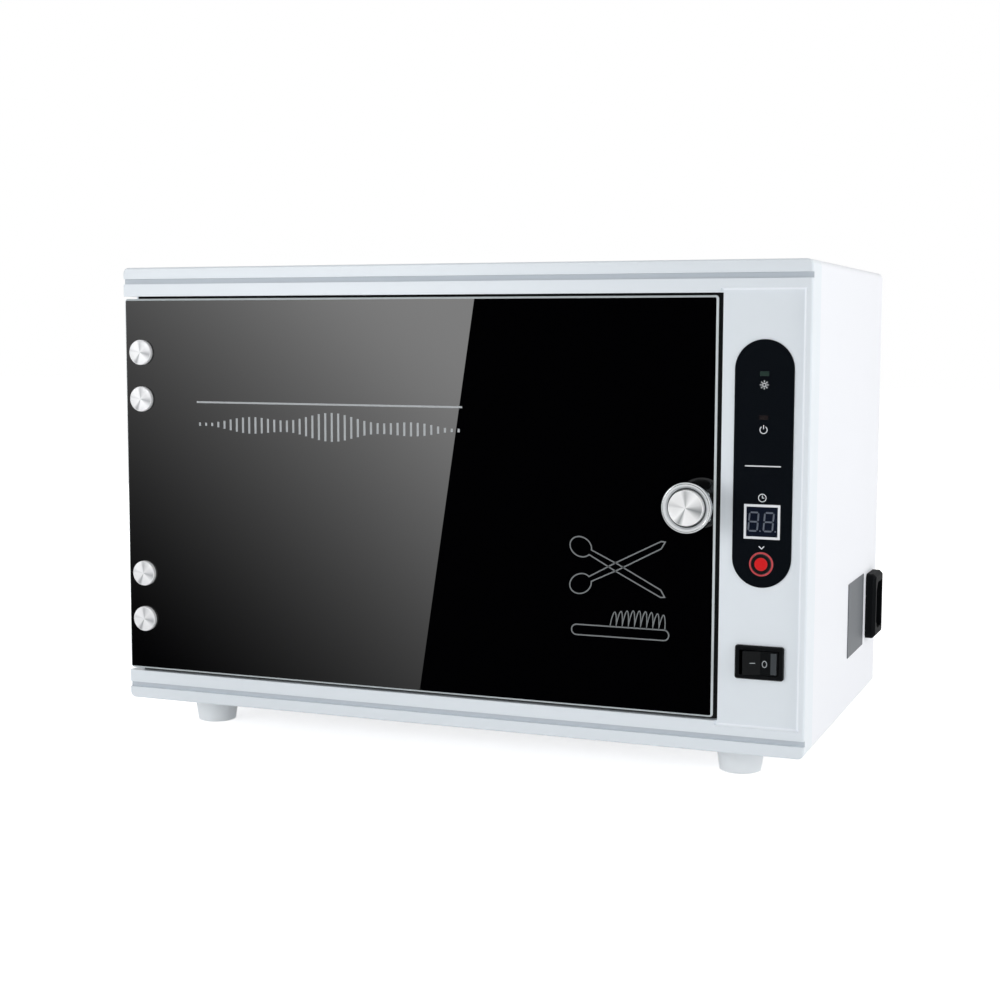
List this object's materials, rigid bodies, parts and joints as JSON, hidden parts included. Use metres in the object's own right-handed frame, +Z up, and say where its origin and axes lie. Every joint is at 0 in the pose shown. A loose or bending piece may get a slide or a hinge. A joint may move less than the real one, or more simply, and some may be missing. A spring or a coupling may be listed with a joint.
{
  "type": "countertop sterilizer cabinet",
  "caption": "White countertop ultraviolet cabinet with a side-hung black glass door, a chrome knob, a lamp chamber with a wire shelf, and a control column with display, button and rocker.",
  "frame": {"origin": "bottom centre of the whole object's bounding box, on the plane the feet rest on", "axes": "+X to the right seen from the front, +Y from the front to the rear, +Z up"},
  "size_m": [0.3552, 0.2074, 0.234],
  "materials": {
    "white_moulding": "satin white moulded ABS",
    "white_shell": "white powder coat",
    "black_glass": "black toughened glass, polished",
    "stainless_sheet": "brushed",
    "zinc_steel": "zinc plated",
    "steel_wire": "bright plated",
    "chrome": "polished",
    "spun_steel": "radially brushed",
    "black_foam": "matt foam",
    "clear_washer": "soft clear",
    "quartz_glass": "clear quartz",
    "white_holder": "matt white",
    "green_board": "solder resist",
    "display_grey": "glossy",
    "overlay_black": "black printed film",
    "foil_plate": "satin foil, blank",
    "white_ink": "screen printed ink",
    "led_lens": "diffuse clear",
    "button_black": "glossy",
    "button_ring": "glossy red",
    "red_lens": "glossy red",
    "black_plastic": "black moulded",
    "brass_pin": "plated",
    "ferrite": "sintered ferrite",
    "soft_rubber": "light grey"
  },
  "bodies": {
    "cabinet": {"front_frame": "white_moulding", "cabinet_shell": "white_shell", "rear_cover": "white_shell", "rear_cover_screws": "zinc_steel", "chamber_liner": "stainless_sheet", "shelf_ledges": "stainless_sheet", "door_seal": "black_foam", "uv_tube": "quartz_glass", "lamp_end_caps": "zinc_steel", "lamp_holders": "white_holder", "lamp_reflector": "stainless_sheet", "ballast": "zinc_steel", "control_board": "green_board", "board_standoffs": "white_holder", "board_screws": "zinc_steel", "display_module": "display_grey", "display_window": "display_grey", "indicator_leds": "led_lens", "control_overlay": "overlay_black", "edge_seal": "black_foam", "side_plate": "foil_plate", "button_bezel": "button_ring", "tact_switch": "black_plastic", "reed_switch": "black_plastic", "rocker_housing": "black_plastic", "rocker_terminals": "brass_pin", "inlet_housing": "black_plastic", "inlet_pins": "brass_pin", "frame_hinge_leaves": "zinc_steel", "frame_hinge_screws": "zinc_steel", "hinge_pins": "zinc_steel", "magnetic_catch": "black_plastic", "catch_magnet": "ferrite", "feet": "soft_rubber", "foot_screws": "zinc_steel"},
    "door": {"door_glass": "black_glass", "hinge_pads": "clear_washer", "door_hinge_leaves": "zinc_steel", "hinge_screws": "zinc_steel", "hinge_caps": "chrome", "door_knob": "chrome", "knob_face": "spun_steel", "knob_washer": "clear_washer", "knob_screw": "zinc_steel", "strike_plate": "zinc_steel", "door_magnet": "ferrite"},
    "start_button": {"button_cap": "button_black", "button_lens": "red_lens"},
    "power_rocker": {"rocker_paddle": "black_plastic"},
    "shelf": {"wire_shelf": "steel_wire"}
  },
  "joints": [
    {"name": "door_hinge", "type": "hinge", "parent": "cabinet", "child": "door", "pos_m": [-0.1747, -0.0806, 0.1236], "axis": [0, 0, -1], "range_deg": [0, 105]},
    {"name": "start_press", "type": "slide", "parent": "cabinet", "child": "start_button", "axis": [0, 1, 0], "range_m": [0, 0.0008], "stiffness_N_per_m": 600},
    {"name": "rocker_tilt", "type": "hinge", "parent": "cabinet", "child": "power_rocker", "pos_m": [0.1516, -0.0846, 0.0561], "axis": [0, 0, -1], "range_deg": [0, 18]},
    {"name": "shelf_slide", "type": "slide", "parent": "cabinet", "child": "shelf", "axis": [0, -1, 0], "range_m": [0, 0.012]}
  ]
}
